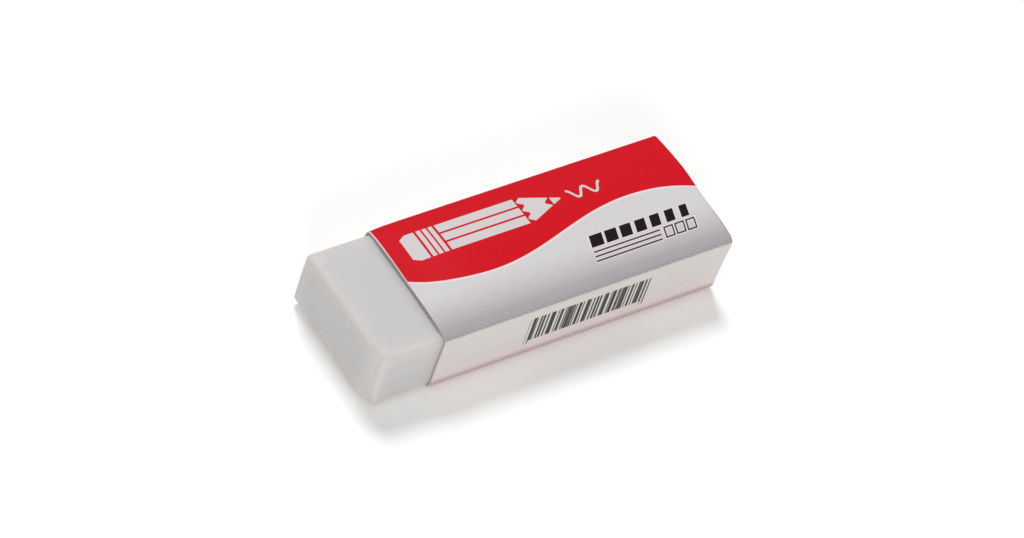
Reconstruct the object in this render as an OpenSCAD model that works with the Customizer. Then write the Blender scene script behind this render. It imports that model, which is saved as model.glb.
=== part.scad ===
// Eraser in a folded card sleeve.
//
// A soft moulded block lies in a tube folded and glued from one sheet of card. The tube leaves the
// block's nose bare and slides along it. The model stands on the tube's flat base: +X runs along
// the block from its bare nose, +Z is up, and the origin is the middle of the base. All sizes are
// in millimetres.

/* [Eraser block] */
// Length of the block from nose to tail
block_l = 60; // [45:0.5:80]
// Width of the block over its flat sides
block_w = 20.4; // [14:0.1:28]
// Height of the block over the crowns of its top and base
block_h = 10; // [7:0.1:16]
// How far the top face stands up in the middle
top_crown = 0.25; // [0.05:0.05:0.6]
// How far the base face hangs down in the middle
base_crown = 0.12; // [0.05:0.01:0.4]
// Rounding along the four long edges
edge_r = 1.1; // [0.5:0.1:2]
// Rounding around the two ends
end_r = 1.2; // [0.5:0.1:2.4]

/* [Card] */
// Thickness of the card
card_t = 0.35; // [0.2:0.01:0.6]
// Thickness of the glue between the lap and the back wall
glue_t = 0.03; // [0.01:0.01:0.08]

/* [Card sleeve] */
// Length of the sleeve
sleeve_l = 50; // [30:0.5:60]
// Length of block that stands out of the sleeve at the nose
bare_l = 10.3; // [4:0.1:20]
// Height that the top panel bows up over the line between its two folds
top_bow = 0.85; // [0.3:0.05:1.6]
// Outside radius of the fold between front wall and top panel
front_fold_r = 1.2; // [0.7:0.1:2]
// Outside radius of the fold between top panel and back wall
back_fold_r = 0.9; // [0.7:0.1:2]
// Outside radius of the two folds at the base
base_fold_r = 0.8; // [0.7:0.1:1.4]
// Height of the glued lap inside the back wall
lap_h = 7; // [4:0.5:9]
// How far the lap's two ends slope in over its height
lap_taper = 2.5; // [0:0.5:6]
// Gap between the base panel and the back wall's free edge
seam_gap = 0.12; // [0.05:0.01:0.4]

/* [Sliding clearances] */
// Clearance between the block's sides and the card
side_gap = 0.06; // [0.04:0.01:0.3]
// Clearance under the lowest line of the block
base_gap = 0.05; // [0.03:0.01:0.3]
// Clearance over the block's front top edge
front_gap = 0.08; // [0.04:0.01:0.4]
// Clearance over the block's back top edge, where the card stands away from it
back_gap = 0.45; // [0.04:0.01:1]

/* [Hidden] */

// Steps in a fold or rounded edge, and in a panel's shallow bow
fold_steps = 6;
bow_steps = 14;
// How far the glue reaches into the card on each side, so that the sheet is one solid
glue_bite = 0.01;
// How far the lap's cutters stand clear of the lap
cut_clear = 0.1;
// Least rounding of the block's long edges, where its ends draw them in
least_r = 0.2;

// The sleeve's width over both walls: the back wall is two thicknesses of card and the glue
sleeve_w = block_w + 2 * side_gap + 3 * card_t + glue_t;
// Outer face of the lap, which the back wall is glued to
lap_y = sleeve_w / 2 - card_t - glue_t;
// The block lies midway between the front wall and the lap
block_y = -(card_t + glue_t) / 2;
// Heights of the block's four long edges, before they are rounded
block_base_z = card_t + base_gap + base_crown;
block_top_z = card_t + base_gap + block_h - top_crown;
block_mid_z = (block_base_z + block_top_z) / 2;
// Heights at which the top panel's line meets the two walls
front_corner_z = block_top_z + front_gap + card_t;
back_corner_z = block_top_z + back_gap + card_t;
// Where the back wall's free edge stops, above the fold that it hides
seam_z = base_fold_r + seam_gap;
// The longer of block and sleeve sets the length, and the nose lies half of it from the origin
nose_x = -max(block_l, bare_l + sleeve_l) / 2;

// Points on an arc about c, from angle a0 to angle a1
function arc(c, r, a0, a1, steps) =
    [for (k = [0:steps]) let (a = a0 + (a1 - a0) * k / steps) c + r * [cos(a), sin(a)]];

// The same arc without its two end points
function arc_between(c, r, a0, a1, steps) =
    [for (k = [1:steps - 1]) let (a = a0 + (a1 - a0) * k / steps) c + r * [cos(a), sin(a)]];

// Centre and radius of the circle through corners l and r that stands bow above their line
function bow_circle(l, r, bow) =
    let (
        span = norm(r - l),
        up = [l.y - r.y, r.x - l.x] / span,
        radius = (span * span / 4 + bow * bow) / (2 * bow)
    )
    [(l + r) / 2 - up * (radius - bow), radius];

// Centre of a fold of radius r at height y across, which runs smoothly into the bow
function fold_centre(ring, across, r) =
    [across, ring[0].y + sqrt(pow(ring[1] - r, 2) - pow(across - ring[0].x, 2))];

// Angle at which p lies as seen from c
function bearing(c, p) = atan2(p.y - c.y, p.x - c.x);

// Outline of a bowed panel between two upright walls, from the left wall over to the right one.
// depth is how far the outline lies inside the panel's outer face.
function bowed_panel(l, r, bow, l_fold, r_fold, depth = 0) =
    let (
        ring = bow_circle(l, r, bow),
        l_centre = fold_centre(ring, l.x + l_fold, l_fold),
        r_centre = fold_centre(ring, r.x - r_fold, r_fold),
        l_turn = bearing(ring[0], l_centre),
        r_turn = bearing(ring[0], r_centre)
    )
    concat(
        arc(l_centre, l_fold - depth, 180, l_turn, fold_steps),
        arc_between(ring[0], ring[1] - depth, l_turn, r_turn, bow_steps),
        arc(r_centre, r_fold - depth, r_turn, 0, fold_steps)
    );

// One face of the folded sheet in cross-section, from the lap's free edge round to the seam
function sheet_face(depth) =
    concat(
        [[lap_y - depth, lap_h]],
        arc([lap_y - base_fold_r, base_fold_r], base_fold_r - depth, 0, -90, fold_steps),
        arc([base_fold_r - sleeve_w / 2, base_fold_r], base_fold_r - depth, -90, -180, fold_steps),
        bowed_panel(
            [-sleeve_w / 2, front_corner_z], [sleeve_w / 2, back_corner_z],
            top_bow, front_fold_r, back_fold_r, depth
        ),
        [[sleeve_w / 2 - depth, seam_z]]
    );

function reversed(list) = [for (k = [len(list) - 1:-1:0]) list[k]];

// Draws a cross-section, Y across and Z up, as a bar from x0 to x1
module along_x(x0, x1)
    translate([x0, 0, 0]) rotate([90, 0, 90]) linear_extrude(x1 - x0) children();

// Draws an outline seen from the front, X across and Z up, as a plate from y0 to y1
module along_y(y0, y1)
    translate([0, y1, 0]) rotate([90, 0, 0]) linear_extrude(y1 - y0) children();

// One ring of points round the block, drawn in by inset all round
function block_ring(x, inset) =
    let (
        side = block_w / 2 - inset,
        edge_z = (block_top_z - block_base_z) / 2 - inset,
        r = max(edge_r - inset, least_r),
        top = bowed_panel([-side, edge_z], [side, edge_z], top_crown, r, r),
        base = -1 * bowed_panel([-side, edge_z], [side, edge_z], base_crown, r, r)
    )
    [for (p = concat(top, base)) [x, p.x, p.y]];

// A closed skin over rings that have equal numbers of points
module skin(rings) {
    n = len(rings[0]);
    last = len(rings) - 1;
    nose_cap = [for (j = [n - 1:-1:0]) j];
    tail_cap = [for (j = [0:n - 1]) last * n + j];
    walls = [
        for (i = [0:last - 1], j = [0:n - 1])
            let (k = (j + 1) % n)
            [i * n + j, i * n + k, (i + 1) * n + k, (i + 1) * n + j]
    ];
    polyhedron([for (ring = rings) each ring], concat([nose_cap, tail_cap], walls));
}

// The block: its cross-section from end to end, drawn in along a quarter circle at both ends
module eraser_block()
    color([0.87, 0.86, 0.85])
    translate([nose_x, block_y, block_mid_z])
    let (
        turns = [for (k = [0:fold_steps]) 90 * k / fold_steps],
        nose = [for (a = reversed(turns)) block_ring(end_r * (1 - sin(a)), end_r * (1 - cos(a)))],
        tail = [
            for (a = turns)
                block_ring(block_l - end_r * (1 - sin(a)), end_r * (1 - cos(a)))
        ]
    )
    skin(concat(nose, tail));

// Outline of the lap, or of what lies margin inside it, seen from the front
module lap_outline(z0, margin)
    polygon([
        [margin, z0], [sleeve_l - margin, z0],
        [sleeve_l - margin - lap_taper, lap_h - margin], [margin + lap_taper, lap_h - margin]
    ]);

// The lap's two sloping ends, to be cut from a lap of full length
module lap_ends()
    along_y(lap_y - card_t - cut_clear, lap_y + glue_t / 2)
    difference() {
        translate([-cut_clear, base_fold_r])
            square([sleeve_l + 2 * cut_clear, lap_h - base_fold_r + cut_clear]);
        lap_outline(base_fold_r - cut_clear, 0);
        translate([lap_taper, lap_h - cut_clear])
            square([sleeve_l - 2 * lap_taper, 3 * cut_clear]);
    }

// The sleeve: one sheet folded round the block and glued to its own lap
module card_sleeve()
    color([0.83, 0.13, 0.17])
    translate([nose_x + bare_l, 0, 0])
    union() {
        difference() {
            along_x(0, sleeve_l) polygon(concat(sheet_face(0), reversed(sheet_face(card_t))));
            lap_ends();
        }
        along_y(lap_y - glue_bite, lap_y + glue_t + glue_bite)
            lap_outline(seam_z, card_t);
    }

eraser_block();
card_sleeve();
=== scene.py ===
"""A soft eraser in a printed card sleeve: its looks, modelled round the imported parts.

Laid out as an add-on and run as a script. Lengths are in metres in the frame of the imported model:
+X from the bare nose to the far end, +Y to the back wall with the glued seam, +Z up. The printed
sheet is drawn in millimetres, along the sleeve from its mouth and round it from the top's middle.
"""

import math

import bmesh
import bpy
from bpy.props import FloatProperty, FloatVectorProperty, IntProperty, PointerProperty
from mathutils import Matrix, Vector


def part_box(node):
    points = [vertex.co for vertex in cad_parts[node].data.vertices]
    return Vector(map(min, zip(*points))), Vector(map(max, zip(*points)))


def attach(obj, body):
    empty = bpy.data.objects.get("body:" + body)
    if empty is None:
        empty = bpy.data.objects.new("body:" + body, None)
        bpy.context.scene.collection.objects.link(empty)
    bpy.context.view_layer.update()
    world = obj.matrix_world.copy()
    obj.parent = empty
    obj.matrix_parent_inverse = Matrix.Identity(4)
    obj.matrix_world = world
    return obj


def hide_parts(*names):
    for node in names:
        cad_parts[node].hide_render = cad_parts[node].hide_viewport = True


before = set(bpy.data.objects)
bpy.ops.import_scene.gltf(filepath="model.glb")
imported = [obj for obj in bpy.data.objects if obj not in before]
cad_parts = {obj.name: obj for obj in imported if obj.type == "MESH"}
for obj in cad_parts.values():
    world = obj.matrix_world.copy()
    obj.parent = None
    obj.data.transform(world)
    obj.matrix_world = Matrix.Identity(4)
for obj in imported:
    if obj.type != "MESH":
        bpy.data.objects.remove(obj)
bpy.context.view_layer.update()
BLOCK_LOW, BLOCK_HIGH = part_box("eraser_block")
BLOCK_SIZE, BLOCK_MIDDLE = BLOCK_HIGH - BLOCK_LOW, (BLOCK_LOW + BLOCK_HIGH) / 2
SLEEVE_LOW, SLEEVE_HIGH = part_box("card_sleeve")
SLEEVE_SIZE, SLEEVE_MIDDLE = SLEEVE_HIGH - SLEEVE_LOW, (SLEEVE_LOW + SLEEVE_HIGH) / 2

bl_info = {
    "name": "Eraser in a card sleeve",
    "version": (1, 0, 0),
    "blender": (4, 5, 0),
    "location": "3D View > Sidebar > Eraser",
    "description": "Models a soft eraser in its printed card sleeve round the packed parts",
    "category": "Object",
}

ALONG, ACROSS, UP = Matrix.Identity(3)  # the frame's axes
MM = 0.001
SAME = 1e-6  # metres within which two places count as one
SHEET_MAP = "Sheet"  # where a place lies on the flat printed sheet, in millimetres
BAKE_MAP = "OFBake"  # the layout that the looks are baked to
PRINTED, RAW, CUT = range(3)  # the sleeve's material slots: its outside, inside and cut edges


def length(name, text, millimetres):
    """A length that a user sets. It is given in millimetres and kept in metres."""
    return FloatProperty(
        name=name,
        description=text,
        default=millimetres * MM,
        min=0,
        precision=5,
        subtype="DISTANCE",
        unit="LENGTH",
    )


def colour(name, text, red, green, blue):
    """A colour that a user sets, given on the usual scale of 0 to 255."""
    return FloatVectorProperty(
        name=name,
        description=text,
        default=tuple(linear(part / 255) for part in (red, green, blue)),
        min=0,
        max=1,
        subtype="COLOR",
    )


def linear(part):
    """One part of a screen colour as an amount of light."""
    return part / 12.92 if part <= 0.04045 else ((part + 0.055) / 1.055) ** 2.4


class EraserBlockSettings(bpy.types.PropertyGroup):
    """Sizes and colours of the soft block"""

    edge_radius: length("Edge radius", "Rounding of the block's softest edge", 1.15)
    top_crown: length("Top crown", "How far the top stands up in its middle", 0.2)
    back_rise: length("Back rise", "How much higher the top's back edge stands than its front one", 0.14)
    base_crown: length("Base crown", "How far the base hangs down in its middle", 0.12)
    hand_dents: length("Dents", "How deep the soft faces dip here and there", 0.04)
    nose_slant: length("Nose slant", "How far the nose's top lies behind its base", 0.4)
    worn_corner: length("Worn corner", "How far the nose's front edge is rubbed back", 0.8)
    soft_corner: length("Soft corner", "How far the corner at that edge's top is rubbed off", 0.28)
    spread_foot: length("Spread foot", "How far the corner at its foot is squeezed out", 0.32)
    vinyl: colour("Vinyl", "Colour of the block", 199, 197, 199)
    # Paler edges: partly worn vinyl, partly a painted highlight
    worn_and_highlit_edge: colour("Worn edge", "Colour of the block's rubbed edges", 208, 205, 202)
    speck: colour("Specks", "Colour of the few specks in the vinyl", 128, 124, 118)


class CardSleeveSettings(bpy.types.PropertyGroup):
    """Sizes of the folded card sleeve"""

    card: length("Card", "Thickness of the card", 0.35)
    glue: length("Glue", "Thickness of the glue between lap and back wall", 0.03)
    front_corner: length("Front corner", "Height at which top and front wall would meet", 10.58)
    back_corner: length("Back corner", "Height at which top and back wall would meet", 10.95)
    top_bow: length("Bow", "How far the top panel stands up over its two corners", 0.85)
    front_fold: length("Front fold", "Outside radius of the fold at the front of the top", 1.2)
    back_fold: length("Back fold", "Outside radius of the fold at the back of the top", 0.9)
    front_foot: length("Front foot", "Outside radius of the fold at the front's foot", 0.9)
    back_foot: length("Back foot", "Outside radius of the fold at the back's foot", 0.8)
    lap: length("Lap", "Height of the glued lap inside the back wall", 7)
    lap_taper: length("Lap taper", "How far the lap's ends slope in", 2.5)
    seam: length("Seam", "Height at which the back wall's free edge stops", 0.92)
    top_dip: length("Top dip", "How far the back fold lies lower at the mouth", 0.3)
    mouth_slant: length("Mouth slant", "How far the mouth's top lies behind its base", 0.3)
    mouth_sag: length("Mouth sag", "How far the top panel sags at the mouth", 0.4)
    back_lean: length("Back lean", "How far the back wall leans in over the lap", 0.22)
    mouth_lean: length("Mouth lean", "How much further it leans in at the mouth", 0.2)
    end_slant: length("End slant", "How far the far end's base lies short of its top", 0.6)
    end_dent: length("End dent", "How far the far end's top edge is pushed in", 0.3)
    fold_steps: IntProperty(
        name="Fold steps", description="Steps in each fold", default=8, min=3, max=24
    )
    bow_steps: IntProperty(
        name="Bow steps", description="Steps in the top's bow", default=24, min=6, max=60
    )


class PrintSettings(bpy.types.PropertyGroup):
    """Inks and board of the sleeve"""

    board: colour("Board", "Coated white side of the board", 214, 210, 207)
    red: colour("Red", "Red ink", 210, 15, 30)
    silver: colour("Silver", "Silver-grey ink, where its screen is open", 214, 211, 213)
    # Partly printed, partly painted shade where the top turns down into the front fold
    shaded_deep_silver: colour("Deep silver", "Silver-grey ink at the front fold", 163, 157, 162)
    pale: colour("Pale", "Silver-white of the pencil on the red", 214, 208, 210)
    keyline: colour("Keyline", "Thin pale lines round the printed shapes", 236, 222, 222)
    black: colour("Black", "Black ink", 22, 18, 22)
    raw_board: colour("Raw board", "Uncoated inside of the board", 196, 190, 180)
    cut_edge: colour("Cut edge", "Cut edges of the board", 186, 174, 170)
    glue: colour("Glue", "Dried glue in the seam", 222, 214, 192)


class StudioSettings(bpy.types.PropertyGroup):
    """Camera, floor and lights"""

    camera: FloatVectorProperty(
        name="Camera",
        description="Where the camera stands",
        default=(-0.281786, -0.256386, 0.416329),
        subtype="XYZ",
        unit="LENGTH",
    )
    aim: FloatVectorProperty(
        name="Aim",
        description="The point that the camera looks at",
        default=(-0.000663, -0.000406, 0.006),
        subtype="XYZ",
        unit="LENGTH",
    )
    roll: FloatProperty(
        name="Roll",
        description="How far the camera leans to its left",
        default=math.radians(20.034),
        subtype="ANGLE",
        unit="ROTATION",
    )
    lens: FloatProperty(
        name="Lens", description="Focal length on a 36 mm sensor, in millimetres", default=139.54
    )
    sky: FloatProperty(
        name="Sky", description="Strength of the even light from all round", default=0.32
    )


# -------------------- material nodes


def operation(kind):
    """A method of Value that adds a Math node of that kind to its own tree."""
    return lambda self, *others: self.paint.math(kind, self, *others)


def reflected(kind):
    """The same, where the Value stands on the right of its operator."""
    return lambda self, other: self.paint.math(kind, other, self)


class Value:
    """An output of a shader node. Python's operators on it add Math nodes."""

    def __init__(self, paint, socket):
        self.paint = paint
        self.socket = socket

    __add__, __radd__ = operation("ADD"), reflected("ADD")
    __sub__, __rsub__ = operation("SUBTRACT"), reflected("SUBTRACT")
    __mul__, __rmul__ = operation("MULTIPLY"), reflected("MULTIPLY")
    __truediv__, __rtruediv__ = operation("DIVIDE"), reflected("DIVIDE")
    __lt__, __gt__ = operation("LESS_THAN"), operation("GREATER_THAN")
    __abs__ = operation("ABSOLUTE")
    least = operation("MINIMUM")
    most = operation("MAXIMUM")
    power = operation("POWER")
    root = operation("SQRT")
    sine = operation("SINE")
    cosine = operation("COSINE")
    whole = operation("FLOOR")  # the whole number at or below a number
    part = operation("FRACT")  # what is left of the number over that

    def clamped(self):
        """The number, kept between 0 and 1."""
        return self.paint.math("ADD", self, 0, clamp=True)


class Paint:
    """The node tree of a material or a world, as it is built up."""

    def __init__(self, owner):
        self.owner = owner
        owner.use_nodes = True
        self.tree = owner.node_tree
        self.tree.nodes.clear()

    def node(self, kind, settings=None, sockets=None, output=0):
        """Adds a node: its settings first, then the values or links of its sockets."""
        node = self.tree.nodes.new(kind)
        for name, value in (settings or {}).items():
            setattr(node, name, value)
        for name, value in (sockets or {}).items():
            if isinstance(value, Value):
                self.tree.links.new(value.socket, node.inputs[name])
            else:
                node.inputs[name].default_value = value
        return Value(self, node.outputs[output]) if node.outputs else None

    def math(self, kind, *values, clamp=False):
        """Adds a Math node."""
        settings = {"operation": kind, "use_clamp": clamp}
        return self.node("ShaderNodeMath", settings, dict(enumerate(values)))

    def blend(self, mask, under, over):
        """Colour over laid on colour under where the mask is 1."""
        sockets = {0: mask, 6: opaque(under), 7: opaque(over)}
        return self.node("ShaderNodeMix", {"data_type": "RGBA"}, sockets, output=2)

    def tinted(self, base, amount):
        """A colour made lighter or darker by a number near 1."""
        grey = self.node("ShaderNodeCombineXYZ", None, {0: amount, 1: amount, 2: amount})
        return self.node("ShaderNodeVectorMath", {"operation": "MULTIPLY"}, {0: base, 1: grey})

    def place(self):
        """The point on the object, in metres."""
        return self.node("ShaderNodeTexCoord", output="Object")

    def parts(self, vector):
        """The three parts of a vector, as numbers."""
        split = self.node("ShaderNodeSeparateXYZ", None, {0: vector})
        return [Value(self, output) for output in split.socket.node.outputs]

    def stretched(self, vector, scale):
        """A vector with each part multiplied by its own number."""
        return self.node("ShaderNodeMapping", None, {"Vector": vector, "Scale": scale})

    def noise(self, vector, millimetres, detail=2.0):
        """Soft noise from 0 to 1 whose lumps are about so many millimetres across."""
        sockets = {"Vector": vector, "Scale": 1 / (millimetres * MM), "Detail": detail}
        return self.node("ShaderNodeTexNoise", None, sockets)

    def bump(self, height, depth, strength=1.0, under=None):
        """A normal that follows a height from 0 to 1, depth metres deep."""
        sockets = {"Height": height, "Distance": depth, "Strength": strength}
        if under is not None:
            sockets["Normal"] = under
        return self.node("ShaderNodeBump", None, sockets)

    def surface(self, **sockets):
        """Finishes the material with a Principled shader."""
        named = {name.replace("_", " "): value for name, value in sockets.items()}
        shader = self.node("ShaderNodeBsdfPrincipled", None, named)
        self.node("ShaderNodeOutputMaterial", None, {"Surface": shader})
        return self.owner


def new_paint(name):
    """The node tree of a new material of that name."""
    return Paint(bpy.data.materials.new(name))


def opaque(tint):
    """A colour setting as the four numbers that a node's colour takes."""
    return tint if isinstance(tint, Value) else (*tint, 1)


# -------------------- printed shapes
# Each gives how far outside the shape a place lies, in millimetres, and less than nothing in it.
# A place is u along the sleeve from its mouth, and v round it from the top's middle.

SLANT = 0.3  # how far slanted marks lean along the sleeve for each millimetre round it
PENCIL_LINE = 5.0  # v of the pencil's long axis
BLOCKS_LINE = -3.7  # v of the row of black blocks
LINE_HALF = 0.13  # half the width of a drawn black line


def inked(distance, blur=0.05):
    """1 inside a shape and 0 outside it, with an edge of that blur."""
    return (0.5 - distance / blur).clamped()


def band(place, middle, half):
    """The strip that reaches half its width to each side of a middle line."""
    return abs(place - middle) - half


def row(place, end):
    """The strip from 0 to its end."""
    return band(place, end / 2, end / 2)


def rectangle(u, off_axis, left, right, half):
    """A rectangle along the sleeve, given by its ends and half its width."""
    return band(u, (left + right) / 2, (right - left) / 2).most(band(off_axis, 0, half))


def repeated(place, pitch, start=0):
    """A place, measured from the middle of the pitch that it lies in."""
    return ((place / pitch + start).part() - 0.5) * pitch


def pencil(u, v):
    """A plain pencil lying along the sleeve, its point towards the far end."""
    half, tip = 2.5, 29.6
    off_axis = abs(v - PENCIL_LINE)
    corner = (off_axis - half + (4.3 - u).most(0) * 0.55) * 0.9
    cap = rectangle(u, off_axis, 3.2, 5.8, half).most(corner)
    groove = band(abs(u - 7.55), 0.5, 0.15)
    ferrule = rectangle(u, off_axis, 6.2, 8.9, half).most(-1 * groove)
    facet = band(off_axis, 0.85, 0.17)
    body = rectangle(u, off_axis, 9.3, 22.6, half).most(-1 * facet)
    scallop = ((v - PENCIL_LINE) * (math.pi / 0.833)).cosine() * 0.4
    slope = (off_axis - (tip - u) * 0.4) * 0.92
    cone = slope.most(band(u + scallop, 25.2, 1.95))
    lead = slope.most(band(u, 28.6, 0.75))
    return cap.least(ferrule).least(body).least(cone).least(lead)


def drawn_wave(u, v):
    """A wavy line, as the pencil draws it."""
    middle, height, wavelength = 33.7, 0.8, 2.9
    turn = math.tau / wavelength
    along = (u - middle) * turn
    steep = (along.sine() * (height * turn)).power(2)
    off_line = abs(v - PENCIL_LINE - along.cosine() * height) / (steep + 1).root()
    return (off_line - 0.2).most(band(u, middle, 2.95))


def speed_blocks(u, v):
    """A row of slanted blocks that thin out towards the far end."""
    pitch, blocks, first, thinning = 2.57, 7, 2.2, 0.13
    slanted = u - (v - BLOCKS_LINE) * SLANT - 28.8
    count = (slanted / pitch).whole()
    width = first - count * thinning
    bar = band(slanted - count * pitch, pitch / 2, width / 2)
    return bar.most(row(slanted, pitch * blocks)).most(band(v, BLOCKS_LINE, 1.0))


def ruled_lines(u, v):
    """Three thin lines under the blocks."""
    middle, pitch = -6.2, 0.75
    slanted = u - (v - middle) * SLANT
    lines = band(repeated(v - middle + 1.5 * pitch, pitch), 0, LINE_HALF)
    return lines.most(band(v, middle, 1.1)).most(band(slanted, 34.1, 5.8))


def outlined_blocks(u, v):
    """Three small slanted blocks drawn in outline."""
    middle, pitch, blocks = -6.1, 1.95, 3
    slanted = u - (v - middle) * SLANT - 40.4
    outline = band(repeated(slanted, pitch), 0, 0.72).most(band(v, middle, 0.8))
    return band(outline, 0, LINE_HALF).most(row(slanted, pitch * blocks))


def bar_row(u, z):
    """A row of upright bars, thick and thin, from three overlaid pitches. The first and last reach
    further down."""
    middle, half_length, head, foot = 25.6, 10.4, 8.4, 3.45
    broad, middling, narrow = (
        band(repeated(u, pitch, start), 0, half)
        for pitch, start, half in ((1.53, 0, 0.2), (1.13, 0.35, 0.14), (0.61, 0.6, 0.095))
    )
    bars = broad.least(middling).least(narrow)
    long_ones = band(abs(u - middle), 10.2, 0.5)
    return bars.most(band(u, middle, half_length)).most(z - head).most(
        foot - inked(long_ones) * 0.7 - z
    )


# -------------------- modelling by hand


def same(one, other):
    """Whether two lengths are equal, but for rounding."""
    return abs(one - other) < SAME


def only(piece):
    """Selects one object and nothing else."""
    bpy.ops.object.select_all(action="DESELECT")
    piece.select_set(True)
    bpy.context.view_layer.objects.active = piece


def new_piece(name, add, scale, **placing):
    """Adds a primitive, gives its mesh its place and size, and opens it for editing."""
    bpy.ops.object.select_all(action="DESELECT")
    add(size=1, **placing)
    piece = bpy.context.object
    piece.name = piece.data.name = name
    piece.scale = scale
    bpy.ops.object.transform_apply(location=True, rotation=True, scale=True)
    bpy.ops.object.mode_set(mode="EDIT")
    return piece


def pick(piece, test):
    """In edit mode, selects the points that pass the test, and what lies between them."""
    bpy.ops.mesh.select_all(action="DESELECT")
    mesh = bmesh.from_edit_mesh(piece.data)
    for point in mesh.verts:
        point.select_set(bool(test(point.co)))
    mesh.select_flush(True)
    bmesh.update_edit_mesh(piece.data)


def cut_across(normal, places):
    """In edit mode, cuts the whole mesh by planes with that normal at those places."""
    for place in places:
        bpy.ops.mesh.select_all(action="SELECT")
        bpy.ops.mesh.bisect(plane_co=normal * place, plane_no=normal)


def even_steps(low, high, count):
    """Places that part the way from low to high into count equal steps, without its ends."""
    return [low + (high - low) * step / count for step in range(1, count)]


def push(move, reach):
    """Moves what is selected, and what lies within reach of it, in millimetres, by less and less."""
    bpy.ops.transform.translate(
        value=move,
        use_proportional_edit=True,
        proportional_edit_falloff="SMOOTH",
        proportional_size=reach * MM,
    )


def push_near(piece, place, move, reach):
    """Pushes the point that lies nearest to a place."""
    mesh = bmesh.from_edit_mesh(piece.data)
    nearest = min((point.co.copy() for point in mesh.verts), key=lambda p: (p - place).length)
    pick(piece, lambda p: (p - nearest).length < SAME)
    push(move, reach)


def slant(back, height, foot):
    """Turns what is selected about its foot, so that it leans back by so much over that height."""
    bpy.ops.transform.rotate(
        value=-math.atan(back / height), orient_axis="Y", center_override=foot
    )


def taper(inset, near, far):
    """Draws in what is selected between near and far by an inset at each end."""
    bpy.ops.transform.resize(
        value=(1 - 2 * inset / (far - near), 1, 1), center_override=((near + far) / 2, 0, 0)
    )


def finish_modifier(piece, kind, name, **settings):
    """Adds a modifier, sets it up and applies it."""
    only(piece)
    modifier = piece.modifiers.new(name, kind)
    for setting, value in settings.items():
        setattr(modifier, setting, value)
    bpy.ops.object.modifier_apply(modifier=modifier.name)


def smooth(piece, degrees):
    """Smooth shading over shallow edges, led by the large faces."""
    only(piece)
    bpy.ops.object.shade_smooth_by_angle(angle=math.radians(degrees))
    finish_modifier(piece, "WEIGHTED_NORMAL", "Flat faces lead", keep_sharp=True, weight=80)


def stop_unless(fine, problem):
    """Stops the script with a plain message where a piece went wrong."""
    if not fine:
        raise RuntimeError(problem)


# -------------------- the block

# The block's sides: which way each faces, as an axis and a sign
SIDES = {
    "nose": (0, -1), "tail": (0, 1), "front": (1, -1), "back": (1, 1), "base": (2, -1), "top": (2, 1)
}
# The edge between two sides: its share of the rounding at its nose, front or base end, its share
# further on, and the millimetres over which the one passes into the other
EDGE_SHARES = (
    ("nose", "top", 1.0, 0.7, 19),
    ("nose", "base", 0.3, 0.9, 9),
    ("nose", "front", 0.3, 0.9, 9),
    ("nose", "back", 0.4, 0.4, 1),
    ("tail", "top", 0.9, 0.9, 1),
    ("tail", "base", 0.5, 0.5, 1),
    ("tail", "front", 0.6, 0.6, 1),
    ("tail", "back", 0.6, 0.6, 1),
    ("front", "top", 0.9, 0.9, 1),
    ("front", "base", 0.3, 0.4, 9),
    ("back", "top", 0.5, 0.35, 9),
    ("back", "base", 0.5, 0.5, 1),
)


def on_side(point, side):
    """Whether a point of the block lies on one of its outer sides."""
    axis, sign = SIDES[side]
    limit = BLOCK_LOW[axis] if sign < 0 else BLOCK_HIGH[axis]
    crown = MM if axis == 2 else SAME
    return (limit - point[axis]) * sign < crown


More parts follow.
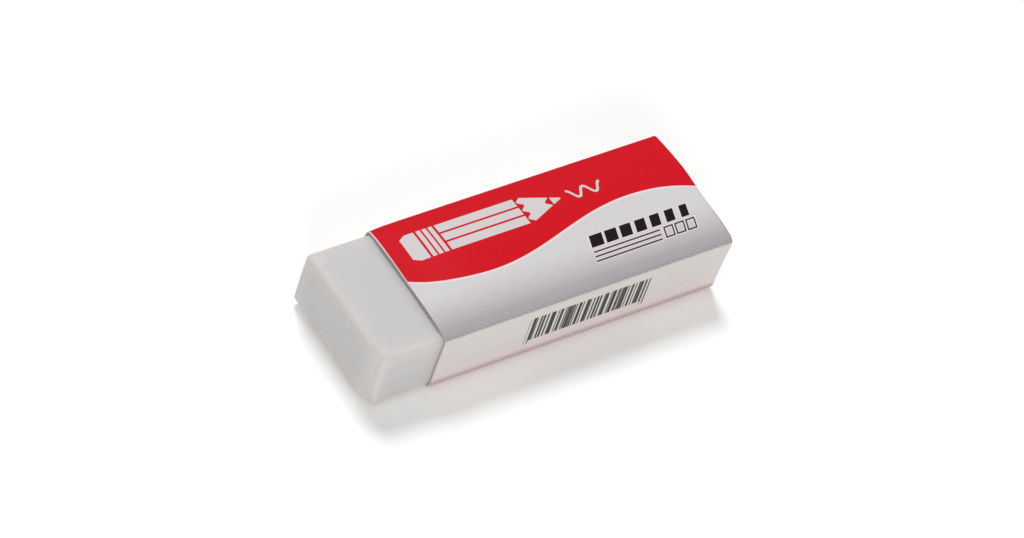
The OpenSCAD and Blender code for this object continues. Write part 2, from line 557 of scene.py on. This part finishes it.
class ERASER_OT_block(bpy.types.Operator):
    """Model the soft eraser block"""

    bl_idname = "eraser.block"
    bl_label = "Eraser block"
    bl_options = {"REGISTER", "UNDO"}

    def execute(self, context):
        sizes = context.scene.eraser_block
        height = BLOCK_SIZE.z - sizes.top_crown - sizes.base_crown
        middle = BLOCK_MIDDLE.copy()
        middle.z = BLOCK_LOW.z + sizes.base_crown + height / 2
        block = new_piece(
            "EraserBlock", bpy.ops.mesh.primitive_cube_add, (*BLOCK_SIZE.xy, height), location=middle
        )
        self.crown(block, sizes, middle)
        cut_across(ALONG, even_steps(BLOCK_LOW.x, BLOCK_HIGH.x, 30))
        self.weigh_edges(block)
        self.wear_nose(block, sizes)
        bpy.ops.object.mode_set(mode="OBJECT")
        finish_modifier(
            block, "BEVEL", "Rounded edges",
            width=sizes.edge_radius, segments=7, limit_method="WEIGHT", offset_type="OFFSET",
        )
        self.soften(block, sizes)
        smooth(block, 35)
        stop_unless(len(block.data.polygons) > 500, "the eraser block came out without its faces")
        block.data.materials.append(vinyl(sizes))
        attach(block, "block")
        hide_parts("eraser_block")
        return {"FINISHED"}

    def crown(self, block, sizes, middle):
        """Cuts the block into strips along it and lifts them into a shallow crown."""
        columns = even_steps(BLOCK_LOW.y, BLOCK_HIGH.y, 18)
        cut_across(ACROSS, columns)
        for column in columns:
            turn = (column - middle.y) / (BLOCK_SIZE.y / 2)
            rise = 1 - turn**2
            tilt = sizes.back_rise * max(turn, 0) ** 2
            for side, lift in ((1, sizes.top_crown * rise + tilt), (-1, -sizes.base_crown * rise)):
                pick(block, lambda p: same(p.y, column) and (p.z - middle.z) * side > 0)
                bpy.ops.transform.translate(value=(0, 0, lift))
        wall = BLOCK_SIZE.z * 0.4
        cut_across(UP, even_steps(middle.z - wall, middle.z + wall, 5))

    def weigh_edges(self, block):
        """Gives each piece of the outer edges its share of the rounding."""
        for one, other, first, last, run in EDGE_SHARES:
            along = 3 - SIDES[one][0] - SIDES[other][0]
            places = sorted(
                point.co[along] for point in bmesh.from_edit_mesh(block.data).verts
                if on_side(point.co, one) and on_side(point.co, other)
            )
            for near, far in zip(places, places[1:]):
                pick(
                    block,
                    lambda p: on_side(p, one) and on_side(p, other)
                    and near - SAME < p[along] < far + SAME,
                )
                gone = min(1, ((near + far) / 2 - places[0]) / (run * MM))
                bpy.ops.transform.edge_bevelweight(value=first + (last - first) * gone)

    def wear_nose(self, block, sizes):
        """Slants the nose, rubs back its front edge and moves three of its corners."""
        pick(block, lambda p: on_side(p, "nose") and on_side(p, "front"))
        push((sizes.worn_corner, 0, 0), 3.5)
        pick(block, lambda p: p.x < BLOCK_LOW.x + 1.5 * MM)
        slant(sizes.nose_slant, BLOCK_SIZE.z, BLOCK_LOW)
        head = Vector((BLOCK_LOW.x + sizes.worn_corner, BLOCK_LOW.y, BLOCK_HIGH.z))
        foot = Vector((head.x, head.y, BLOCK_LOW.z))
        heel = Vector((BLOCK_LOW.x, BLOCK_HIGH.y, BLOCK_LOW.z))
        off, out = sizes.soft_corner, sizes.spread_foot
        push_near(block, head, (0, off, -off), 4)
        push_near(block, foot, (0.6 * out, -0.8 * out, -0.7 * out), 5)
        push_near(block, heel, (0.6 * off, 0, 0), 7)

    def soften(self, block, sizes):
        """Lets the soft faces dip a little here and there, always inwards."""
        dents = bpy.data.textures.new("Soft dents", "CLOUDS")
        dents.noise_scale = 6 * MM
        dents.noise_depth = 1
        finish_modifier(
            block, "DISPLACE", "Hand dents",
            texture=dents, strength=sizes.hand_dents, mid_level=1.0,
        )


def vinyl(sizes):
    """Filled soft vinyl: matte, faintly mottled, with a few specks, edges paler by wear and a painted
    highlight, and painted shade and light near the sleeve.
    """
    paint = new_paint("Soft vinyl")
    place = paint.place()
    mottle = paint.noise(place, 3.2, 3.0)
    fine = paint.noise(place, 0.35, 4.0)
    # The paler edges are partly rubbed vinyl and partly a painted highlight
    rubbed = (near_edges(paint, place) * (0.55 + mottle * 0.9)).clamped()
    spot = paint.node("ShaderNodeTexVoronoi", None, {"Vector": place, "Scale": 1 / (2 * MM)})
    speck = inked(spot - 0.045, 0.02)
    base = paint.blend(rubbed, sizes.vinyl, sizes.worn_and_highlit_edge)
    base = paint.blend(speck * 0.8, base, sizes.speck)
    # Painted shade along the sleeve's mouth, less painted light on the front's top edge and under the
    # sleeve
    shade = painted_shade_and_light(paint, place, mottle)
    base = paint.tinted(base, 0.955 + mottle * 0.065 + fine * 0.025 - shade)
    lumps = paint.bump(mottle, 0.05 * MM, 0.5)
    return paint.surface(
        Base_Color=base,
        Roughness=0.5 + mottle * 0.16,
        Specular_IOR_Level=0.3,
        Subsurface_Weight=0.12,
        Subsurface_Radius=(1.0, 0.9, 0.85),
        Subsurface_Scale=0.6 * MM,
        Normal=paint.bump(fine, 0.03 * MM, 0.55, lumps),
    )


def near_edges(paint, place):
    """1 on the block's outer edges, fading away over the rim beside them."""
    rim = 3 * MM
    along, across, up = (
        (band(part, middle, size / 2 - rim) / rim).clamped()
        for part, middle, size in zip(paint.parts(place), BLOCK_MIDDLE, BLOCK_SIZE, strict=True)
    )
    return (along * across + across * up + along * up).clamped()


def painted_shade_and_light(paint, place, mottle):
    """How much darker the vinyl is painted: painted shade along the mouth of the sleeve, deeper near
    the top, less a painted highlight along the front's top edge and painted light where the sleeve
    covers it."""
    tucked, reach, rim = 0.3, 1.7, 1.2
    along, across, up = paint.parts(place)
    outside = (SLEEVE_LOW.x - along) / MM + tucked
    mouth_shade = (1 - outside / reach).clamped().power(2) * (outside / tucked).clamped()
    mouth_shade = mouth_shade * (0.65 + mottle * 0.8)
    above = (up - BLOCK_HIGH.z) / MM
    near_top = (above + 1.4).clamped()
    near_front = ((BLOCK_LOW.y - across) / MM / rim + 1).clamped()
    front_edge_highlight = near_front * (above / rim + 1).clamped()
    painted_light_under_sleeve = (1 - outside).clamped() * ((BLOCK_HIGH.x - along) / MM - 0.5).clamped()
    return mouth_shade * (0.17 + near_top * 0.14) - front_edge_highlight * 0.24 - painted_light_under_sleeve * 0.11


# -------------------- the sleeve


class Section:
    """The sleeve's cross-section: points (y, z) about which the sheet turns, in metres."""

    def __init__(self, sizes):
        front, back = SLEEVE_LOW.y, SLEEVE_HIGH.y
        self.lap = back - sizes.card - sizes.glue
        self.base_back = Vector((self.lap - sizes.back_foot, sizes.back_foot))
        self.base_front = Vector((front + sizes.front_foot, sizes.front_foot))
        left = Vector((front, sizes.front_corner))
        right = Vector((back, sizes.back_corner))
        span = right - left
        up = Vector((-span.y, span.x)).normalized()
        bow = sizes.top_bow
        self.bow_radius = (span.length_squared / 4 + bow * bow) / (2 * bow)
        self.bow = (left + right) / 2 - up * (self.bow_radius - bow)
        self.top_front = self.fold_centre(front + sizes.front_fold, sizes.front_fold)
        self.top_back = self.fold_centre(back - sizes.back_fold, sizes.back_fold)
        self.front_turn = self.bearing(self.top_front)
        self.back_turn = self.bearing(self.top_back)

    def fold_centre(self, across, radius):
        """Centre of a fold at that place across, which runs smoothly into the bow."""
        reach = math.sqrt((self.bow_radius - radius) ** 2 - (across - self.bow.x) ** 2)
        return Vector((across, self.bow.y + reach))

    def bearing(self, centre):
        """Angle of a fold's centre seen from the middle of the bow's circle."""
        return math.atan2(centre.y - self.bow.y, centre.x - self.bow.x)


class ERASER_OT_sleeve(bpy.types.Operator):
    """Fold the printed card sleeve round the block"""

    bl_idname = "eraser.sleeve"
    bl_label = "Card sleeve"
    bl_options = {"REGISTER", "UNDO"}

    def execute(self, context):
        sizes = context.scene.card_sleeve
        inks = context.scene.eraser_print
        section = Section(sizes)
        sleeve = self.fold(sizes, section)
        bpy.ops.object.mode_set(mode="OBJECT")
        outline = map_sheet(sleeve)
        bpy.ops.object.mode_set(mode="EDIT")
        self.shape(sleeve, sizes, section.top_front.y)
        bpy.ops.object.mode_set(mode="OBJECT")
        for finish in (printed_card(inks, outline), raw_board(inks), cut_edge(inks)):
            sleeve.data.materials.append(finish)
        finish_modifier(
            sleeve, "SOLIDIFY", "Card",
            thickness=sizes.card, offset=-1.0, use_even_offset=True, use_quality_normals=True,
            material_offset=RAW, material_offset_rim=CUT,
        )
        smooth(sleeve, 30)
        lay_out_bake(sleeve, outline)
        low, high = (Vector(sleeve.bound_box[corner]) for corner in (0, 6))
        stop_unless(
            (low - SLEEVE_LOW).length < MM and (high - SLEEVE_HIGH).length < MM,
            "the card sleeve doesn't fill the box of its packed part",
        )
        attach(sleeve, "sleeve")
        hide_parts("card_sleeve")
        return {"FINISHED"}

    def fold(self, sizes, section):
        """Starts with the lap, standing inside the back wall, and folds and draws out the sheet
        from its foot, panel by panel, to the seam."""
        height = sizes.lap - sizes.back_foot
        sleeve = new_piece(
            "CardSleeve", bpy.ops.mesh.primitive_plane_add, (SLEEVE_SIZE.x, height, 1),
            location=(SLEEVE_MIDDLE.x, section.lap, sizes.lap - height / 2),
            rotation=(math.radians(-90), 0, 0),
        )
        pick(sleeve, lambda p: p.z < sizes.back_foot + SAME)
        steps = sizes.fold_steps
        quarter = math.radians(90)
        fold_about(section.base_back, quarter, steps)
        draw_out(section.base_front.x - section.base_back.x, 0)
        fold_about(section.base_front, quarter, steps)
        draw_out(0, section.top_front.y - section.base_front.y)
        fold_about(section.top_front, math.pi - section.front_turn, steps)
        fold_about(section.bow, section.front_turn - section.back_turn, sizes.bow_steps)
        fold_about(section.top_back, section.back_turn, steps)
        draw_out(0, sizes.seam - section.top_back.y)
        return sleeve

    def shape(self, sleeve, sizes, fold_height):
        """Cuts the sheet lengthwise, slopes the lap's ends and lets the card lie less than true."""
        cuts = even_steps(SLEEVE_LOW.x, SLEEVE_HIGH.x, 20)
        cut_across(ALONG, cuts)
        pick(sleeve, lambda p: same(p.z, sizes.lap) and p.y > SLEEVE_HIGH.y - 3 * sizes.card)
        taper(sizes.lap_taper, SLEEVE_LOW.x, SLEEVE_HIGH.x)
        self.lean_back_wall(sleeve, sizes)
        self.dip_top(sleeve, sizes, (SLEEVE_LOW.x, *cuts), fold_height - 0.1 * MM)
        self.wear_ends(sleeve, sizes)

    def lean_back_wall(self, sleeve, sizes):
        """Leans the back wall in over the lap."""
        over_lap = sizes.lap + 0.6 * MM
        cut_across(UP, [*even_steps(sizes.back_foot, over_lap, 3), over_lap])
        pick(sleeve, lambda p: p.z > over_lap + SAME)
        bpy.ops.transform.resize(
            value=(1, 1 - sizes.back_lean / SLEEVE_SIZE.y, 1),
            center_override=(SLEEVE_MIDDLE.x, SLEEVE_LOW.y, 0),
        )

    def dip_top(self, sleeve, sizes, places, hinge):
        """Tips the top down towards the back, most of all at the mouth."""
        for place in places:
            share = (SLEEVE_HIGH.x - place) / SLEEVE_SIZE.x
            pick(sleeve, lambda p: same(p.x, place) and p.z > hinge)
            bpy.ops.transform.rotate(
                value=sizes.top_dip * share / SLEEVE_SIZE.y,
                orient_axis="X",
                center_override=(place, SLEEVE_LOW.y, hinge),
            )

    def wear_ends(self, sleeve, sizes):
        """Slants the sleeve's two ends and presses the card in at four places on their edges."""
        near, far, height = SLEEVE_LOW.x, SLEEVE_HIGH.x, SLEEVE_HIGH.z
        pick(sleeve, lambda p: p.x < near + SAME)
        slant(sizes.mouth_slant, height, (near, 0, 0))
        pick(sleeve, lambda p: p.x > far - SAME)
        slant(sizes.end_slant, height, (far, 0, height))
        for place, move, reach in (
            ((near, 0, height), (0, 0, -sizes.mouth_sag), 10.5),
            ((near, SLEEVE_HIGH.y, height), (0, -sizes.mouth_lean, 0), 3.2),
            ((far, -2.5 * MM, height), (-sizes.end_dent, 0, 0), 6),
            ((far, SLEEVE_LOW.y, height / 2), (-0.4 * sizes.end_dent, 0, 0), 6),
        ):
            push_near(sleeve, Vector(place), move, reach)


def fold_about(centre, angle, steps):
    """Carries the free edge round a fold or bow, over the top towards the back."""
    bpy.ops.mesh.spin(
        steps=steps, angle=angle, center=(0, centre.x, centre.y), axis=(1, 0, 0)
    )


def draw_out(across, up):
    """Draws the free edge out into a flat panel."""
    bpy.ops.mesh.extrude_region_move(TRANSFORM_OT_translate={"value": (0, across, up)})


def walk_round(mesh):
    """The points of the sheet's edge at the mouth, from the lap's free edge to the seam."""
    beside = {}
    for edge in mesh.edges:
        a, b = edge.vertices
        if all(same(mesh.vertices[end].co.x, SLEEVE_LOW.x) for end in (a, b)):
            beside.setdefault(a, []).append(b)
            beside.setdefault(b, []).append(a)
    ends = [index for index, others in beside.items() if len(others) == 1]
    walk = [max(ends, key=lambda index: mesh.vertices[index].co.z)]
    while onward := [index for index in beside[walk[-1]] if index not in walk[-2:]]:
        walk.append(onward[0])
    return [mesh.vertices[index].co for index in walk]


def map_sheet(sleeve):
    """Lays the folded sheet out flat in the map SHEET_MAP. Returns the points of its outline, each
    with its y, its z and how far it lies round the sheet, in millimetres."""
    mesh = sleeve.data
    points = walk_round(mesh)
    gone = [0.0]
    for last, point in zip(points, points[1:]):
        gone.append(gone[-1] + (point - last).length / MM)
    k = next(k for k in range(len(points)) if points[k].y <= 0 < points[k + 1].y)
    share = points[k].y / (points[k].y - points[k + 1].y)
    top_middle = gone[k] + (gone[k + 1] - gone[k]) * share
    rounds = [way - top_middle for way in gone]
    sheet = mesh.uv_layers.new(name=SHEET_MAP)
    for loop in mesh.loops:
        place = mesh.vertices[loop.vertex_index].co
        k = min(range(len(points)), key=lambda k: (points[k].yz - place.yz).length_squared)
        sheet.data[loop.index].uv = ((place.x - SLEEVE_LOW.x) / MM, rounds[k])
    return [(point.y / MM, point.z / MM, way) for point, way in zip(points, rounds, strict=True)]


def lay_out_bake(sleeve, outline):
    """Gives the printed outside most of the room in the map that the looks are baked to."""
    margin, height, rim = 0.004, 0.965, 0.006
    outside, inside, lap = (margin, 0.775), (0.795, 0.15), (0.955, 0.018)
    mesh = sleeve.data
    sheet = mesh.uv_layers[SHEET_MAP]
    layout = mesh.uv_layers.new(name=BAKE_MAP)
    printed = {
        index for face in mesh.polygons if face.material_index == PRINTED
        for index in face.vertices
    }
    first, lap_foot, last = (outline[k][2] for k in (0, 1, -1))
    for face in mesh.polygons:
        on_lap = max(sheet.data[loop].uv.y for loop in face.loop_indices) < lap_foot + 0.01
        left, width = inside
        start = first
        if face.material_index == PRINTED and on_lap:
            left, width = lap
        elif face.material_index == PRINTED:
            left, width = outside
            start = lap_foot
        for loop in face.loop_indices:
            u, v = sheet.data[loop].uv
            across = left + width * u * MM / SLEEVE_SIZE.x
            up = margin + height * (v - start) / (last - start)
            depth = 0 if mesh.loops[loop].vertex_index in printed else rim
            if face.material_index == CUT and abs(face.normal.x) > 0.7:
                across = (0.979 if face.center.x < SLEEVE_MIDDLE.x else 0.989) + depth
            elif face.material_index == CUT:
                up = (0.977 if face.center.z > 3 * MM else 0.988) + depth
            layout.data[loop].uv = (across, up)


class Folds:
    """Where the folds lie round the sheet, and the printed fields that end near them, in
    millimetres from the middle of its top."""

    def __init__(self, outline):
        close = SAME / MM
        base = [way for y, z, way in outline if abs(z) < close]
        front = [(way, z) for y, z, way in outline if abs(y - SLEEVE_LOW.y / MM) < close]
        back = [way for y, z, way in outline if y > SLEEVE_HIGH.y / MM - close]
        (foot, foot_z), (head, _) = front[0], front[-1]
        low, high = foot - 0.94 * foot_z, head + 0.52
        self.front_ground = foot - foot_z
        self.front_top = head
        self.front_middle = (low + high) / 2
        self.front_half = (high - low) / 2
        self.back_start = back[0] - 0.3
        self.base_offset = -(base[0] + base[-1]) / 2
        self.lines = (base[0], base[-1], foot, head + 0.55, back[0] - 0.45)


def printed_card(inks, outline):
    """The coated outside of the board, printed in red, silver, black and pale tints. Each ink is
    laid on the ones before it."""
    paint = new_paint("Printed card")
    u, v, _ = paint.parts(paint.node("ShaderNodeUVMap", {"uv_map": SHEET_MAP}))
    folds = Folds(outline)
    w = v + (v < folds.front_middle) * folds.base_offset
    z = v - folds.front_ground
    place = paint.place()
    grain = paint.noise(place, 0.5, 4.0)
    patches = paint.noise(place, 7.0, 2.0)

    front = band(v, folds.front_middle, folds.front_half)
    panels = inked((patches - 0.5) * 0.1 - front, 0.08) * inked(v - folds.back_start, 0.08)
    on_front = inked(band(v, folds.front_middle, 6))
    curve = field_curve(u)
    drawing = pencil(u, w).least(drawn_wave(u, w))
    blocks = speed_blocks(u, w)
    lines = ruled_lines(u, w).least(outlined_blocks(u, w))
    bare = ((w + 9) / 16).clamped() * 0.18  # the ink stops this short of the mouth
    crease = creases(v, folds, grain)
    art = paint.blend(
        panels, plain_wall(paint, inks, on_front, z), silver_field(paint, inks, u, w, grain)
    )
    for mask, ink in (
        (panels * inked(curve - w, 0.07), paint.tinted(inks.red, 0.94 + grain * 0.12)),
        (panels * inked(band(w, curve, 0.17), 0.08), inks.keyline),
        (panels * inked(drawing), inks.pale),
        (panels * inked(blocks.least(lines) - 0.14, 0.1) * 0.75, inks.keyline),
        (panels * inked(blocks), inks.black),
        (panels * inked(lines) * 0.95, inks.black),
        ((v < folds.front_top) * inked(bar_row(u, z), 0.06) * 0.92, inks.black),
        (panels * inked(u - bare, 0.1), inks.keyline),
        (crease * 0.5, inks.keyline),
    ):
        art = paint.blend(mask, art, ink)

    # Painted shade where the print turns over the back fold, and the print darker along the far end
    back_fold_shade = ((v - folds.back_start) / 0.8 + 1.6).clamped() * 0.16
    far_end_darkening = ((u - SLEEVE_SIZE.x / MM) / 0.4 + 1.2).clamped() * 0.12
    art = paint.tinted(art, 0.975 + patches * 0.035 + grain * 0.015 - (back_fold_shade + far_end_darkening) * panels)
    fibres = paint.bump(grain, 0.012 * MM, 0.45)
    return paint.surface(
        Base_Color=art,
        Roughness=0.42 + grain * 0.08 + crease * 0.2 - panels * 0.06,
        Specular_IOR_Level=0.05,
        Normal=paint.bump(patches, 0.10 * MM, 0.35, fibres),
    )


def field_curve(u):
    """How far round the sheet the red field ends and the silver one starts."""
    middle, half_wave, height = 26.1, 25.8, 2.27
    wave = ((u - middle) * (math.pi / half_wave)).sine() * height - 0.70
    near_end = (6 - u).most(0).power(2) * 0.014
    far_end = (u - 43.5).most(0).power(2) * 0.012
    return wave + near_end - far_end


def silver_field(paint, inks, u, w, grain):
    """Silver-grey that deepens towards the front fold, partly in print and partly as painted shade,
    under a fine screen of slanted lines.
    """
    start, reach = -3.6, 6.6
    # Painted shade in part: the top is darkened as it turns down into the front fold
    shade = ((start - w) / reach).clamped()
    deepening = (shade * (shade + 1) / 2).least(0.82)
    screen = ((u * 0.93 + w * 1.45) * math.tau).sine()
    deepening = (deepening + screen * (0.01 + shade * 0.07) * (grain + 0.3)).clamped()
    return paint.blend(deepening, inks.silver, inks.shaded_deep_silver)


def plain_wall(paint, inks, on_front, z):
    """Bare white board. On the front wall, painted red bounce light tinges it pink towards the foot, and
    painted shade darkens the foot itself.
    """
    wall = inks.board
    # Painted light: first a pink tint of red light bounced up from the floor, then painted shade at the
    # foot
    for reach, fade, shares in ((4.2, 1.4, (1.1, 1.01, 1.05)), (2.0, 1.1, (0.74, 0.63, 0.64))):
        bounce_and_shade_tint = tuple(part * share for part, share in zip(inks.board, shares, strict=True))
        wall = paint.blend(((reach - z) / fade).clamped(), wall, bounce_and_shade_tint)
    return paint.blend(on_front, inks.board, wall)


def creases(v, folds, grain):
    """Fine broken lines along the folds, where the ink has cracked."""
    off_fold = abs(v - folds.lines[0])
    for place in folds.lines[1:]:
        off_fold = off_fold.least(abs(v - place))
    return inked(off_fold - 0.05, 0.12) * ((grain - 0.42) * 5).clamped()


def raw_board(inks):
    """The uncoated inside of the board: greyish, with short fibres."""
    paint = new_paint("Raw board")
    place = paint.place()
    fibres = paint.noise(paint.stretched(place, (0.35, 1, 1)), 0.22, 5.0)
    patches = paint.noise(place, 2.5, 2.0)
    base = paint.tinted(inks.raw_board, 0.88 + fibres * 0.16 + patches * 0.08)
    return paint.surface(
        Base_Color=base,
        Roughness=0.82 + fibres * 0.1,
        Specular_IOR_Level=0.2,
        Normal=paint.bump(fibres, 0.03 * MM, 0.6),
    )


def cut_edge(inks):
    """The cut edges of the board: layered, and made paler near the base by painted light."""
    paint = new_paint("Cut board edge")
    place = paint.place()
    layers = paint.noise(paint.stretched(place, (1, 0.3, 0.3)), 0.08, 3.0)
    tufts = paint.noise(place, 0.3, 3.0)
    # Painted light that lifts the shade on the edges near the base
    painted_light_at_base = (1 - paint.parts(place)[2] / (1.3 * MM)).clamped() * 0.3
    base = paint.tinted(inks.cut_edge, 0.86 + layers * 0.12 + tufts * 0.12 + painted_light_at_base)
    return paint.surface(
        Base_Color=base,
        Roughness=0.85 + tufts * 0.1,
        Specular_IOR_Level=0.2,
        Normal=paint.bump(tufts, 0.03 * MM, 0.5),
    )


# -------------------- the glue


class ERASER_OT_glue(bpy.types.Operator):
    """Spread the glue that holds the lap to the back wall"""

    bl_idname = "eraser.glue"
    bl_label = "Seam glue"
    bl_options = {"REGISTER", "UNDO"}

    def execute(self, context):
        sizes = context.scene.card_sleeve
        inset = sizes.card
        waviness = 0.18 * MM
        low, high = sizes.seam + inset, sizes.lap - inset
        near, far = SLEEVE_LOW.x + inset, SLEEVE_HIGH.x - sizes.end_slant - inset
        middle = Vector(((near + far) / 2, Section(sizes).lap + sizes.glue / 2, (low + high) / 2))
        glue = new_piece(
            "SeamGlue", bpy.ops.mesh.primitive_cube_add, (far - near, sizes.glue, high - low),
            location=middle,
        )
        cuts = even_steps(near, far, 40)
        cut_across(ALONG, cuts)
        pick(glue, lambda p: p.z > middle.z)
        taper(sizes.lap_taper, near, far)
        for k, column in enumerate((near, *cuts, far)):
            pick(glue, lambda p: same(p.x, column) and p.z < middle.z)
            lift = waviness * (1 + math.sin(2.1 * k + k * k))
            bpy.ops.transform.translate(value=(0, 0, lift))
        bpy.ops.object.mode_set(mode="OBJECT")
        smooth(glue, 30)
        glue.data.materials.append(dried_glue(context.scene.eraser_print))
        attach(glue, "sleeve")
        return {"FINISHED"}


def dried_glue(inks):
    """White glue, dried cloudy and slightly yellow."""
    paint = new_paint("Dried glue")
    place = paint.place()
    clouds = paint.noise(place, 1.4, 3.0)
    base = paint.tinted(inks.glue, 0.85 + clouds * 0.3)
    return paint.surface(
        Base_Color=base, Roughness=0.25 + clouds * 0.2, Normal=paint.bump(clouds, 0.02 * MM)
    )


# -------------------- the studio


class ERASER_OT_studio(bpy.types.Operator):
    """Set up the floor, the lights and the camera"""

    bl_idname = "eraser.studio"
    bl_label = "Studio"
    bl_options = {"REGISTER", "UNDO"}

    def execute(self, context):
        scene = context.scene
        studio = scene.eraser_studio
        scene.view_settings.view_transform = "Standard"
        self.floor()
        self.sky(scene, studio)
        self.lamp("Key", (0.20, 0.72, 1.08), size=0.42, level=0.63)
        self.lamp("Fill", (-0.60, -0.94, 0.44), size=0.50, level=0.48, tint=(1, 0.985, 0.955))
        self.camera(scene, studio)
        return {"FINISHED"}

    def floor(self):
        """A white floor that keeps the object's shadow."""
        bpy.ops.object.select_all(action="DESELECT")
        bpy.ops.mesh.primitive_grid_add(
            x_subdivisions=8, y_subdivisions=8, size=6, location=(0, 0, -0.03 * MM)
        )
        floor = bpy.context.object
        floor.name = "Floor"
        paint = new_paint("White floor")
        matte = paint.node("ShaderNodeBsdfDiffuse", None, {"Color": (0.975, 0.97, 0.96, 1)})
        glow = paint.node("ShaderNodeEmission", None, {"Strength": 0.125})
        glow = paint.node("ShaderNodeMixShader", None, {0: seen_directly(paint), 2: glow})
        both = paint.node("ShaderNodeAddShader", None, {0: matte, 1: glow})
        paint.node("ShaderNodeOutputMaterial", None, {"Surface": both})
        floor.data.materials.append(paint.owner)

    def sky(self, scene, studio):
        """Even white light from all round, behind a plain white background."""
        paint = Paint(bpy.data.worlds.new("Soft box"))
        white = (1, 1, 1, 1)
        light, wall = (
            paint.node("ShaderNodeBackground", None, {"Color": white, "Strength": strength})
            for strength in (studio.sky, 1)
        )
        sky = paint.node("ShaderNodeMixShader", None, {0: seen_directly(paint), 1: light, 2: wall})
        paint.node("ShaderNodeOutputWorld", None, {"Surface": sky})
        scene.world = paint.owner

    def lamp(self, name, place, size, level, tint=(1, 1, 1)):
        """A square softbox aimed at the object. level is its share of the light on a face
        square to it, where 1 renders a colour as it is written."""
        place = Vector(place)
        bpy.ops.object.light_add(type="AREA", location=place)
        lamp = bpy.context.object
        lamp.name = name
        lamp.rotation_euler = (-place).to_track_quat("-Z", "Y").to_euler()
        lamp.data.size = size
        lamp.data.color = tint
        lamp.data.energy = level * math.pi**2 * place.length_squared

    def camera(self, scene, studio):
        """The camera, leaning to its left."""
        place, aim = Vector(studio.camera), Vector(studio.aim)
        bpy.ops.object.camera_add(location=place)
        camera = bpy.context.object
        forward = (aim - place).normalized()
        right = forward.cross(UP).normalized()
        level = Matrix((right, right.cross(forward), -forward)).transposed()
        camera.rotation_euler = (level @ Matrix.Rotation(studio.roll, 3, "Z")).to_euler()
        camera.data.sensor_width = 36
        camera.data.lens = studio.lens
        camera.data.clip_start = 0.01
        scene.camera = camera


def seen_directly(paint):
    """1 where the camera, or a mirror-like face, looks at the surface."""
    path = paint.node("ShaderNodeLightPath", output="Is Camera Ray")
    outputs = path.socket.node.outputs
    return path.most(Value(paint, outputs["Is Glossy Ray"])).most(
        Value(paint, outputs["Is Transmission Ray"])
    )


# -------------------- panel and registration


class ERASER_PT_panel(bpy.types.Panel):
    """The sizes, colours and steps of the model"""

    bl_label = "Eraser in a card sleeve"
    bl_idname = "ERASER_PT_panel"
    bl_space_type = "VIEW_3D"
    bl_region_type = "UI"
    bl_category = "Eraser"

    def draw(self, context):
        layout = self.layout
        for step, settings in STEPS:
            box = layout.box()
            box.operator(step.bl_idname)
            group = getattr(context.scene, settings)
            for name in type(group).__annotations__:
                box.prop(group, name)


GROUPS = {
    "eraser_block": EraserBlockSettings,
    "card_sleeve": CardSleeveSettings,
    "eraser_print": PrintSettings,
    "eraser_studio": StudioSettings,
}
STEPS = (
    (ERASER_OT_block, "eraser_block"),
    (ERASER_OT_sleeve, "card_sleeve"),
    (ERASER_OT_glue, "eraser_print"),
    (ERASER_OT_studio, "eraser_studio"),
)
CLASSES = (*GROUPS.values(), *(step for step, _ in STEPS), ERASER_PT_panel)


def register():
    for item in CLASSES:
        bpy.utils.register_class(item)
    for name, group in GROUPS.items():
        setattr(bpy.types.Scene, name, PointerProperty(type=group))


def unregister():
    for name in GROUPS:
        delattr(bpy.types.Scene, name)
    for item in reversed(CLASSES):
        bpy.utils.unregister_class(item)


def main():
    """Registers the add-on and runs its steps in order."""
    register()
    bpy.ops.eraser.block()
    bpy.ops.eraser.sleeve()
    bpy.ops.eraser.glue()
    bpy.ops.eraser.studio()


if __name__ == "__main__":
    main()
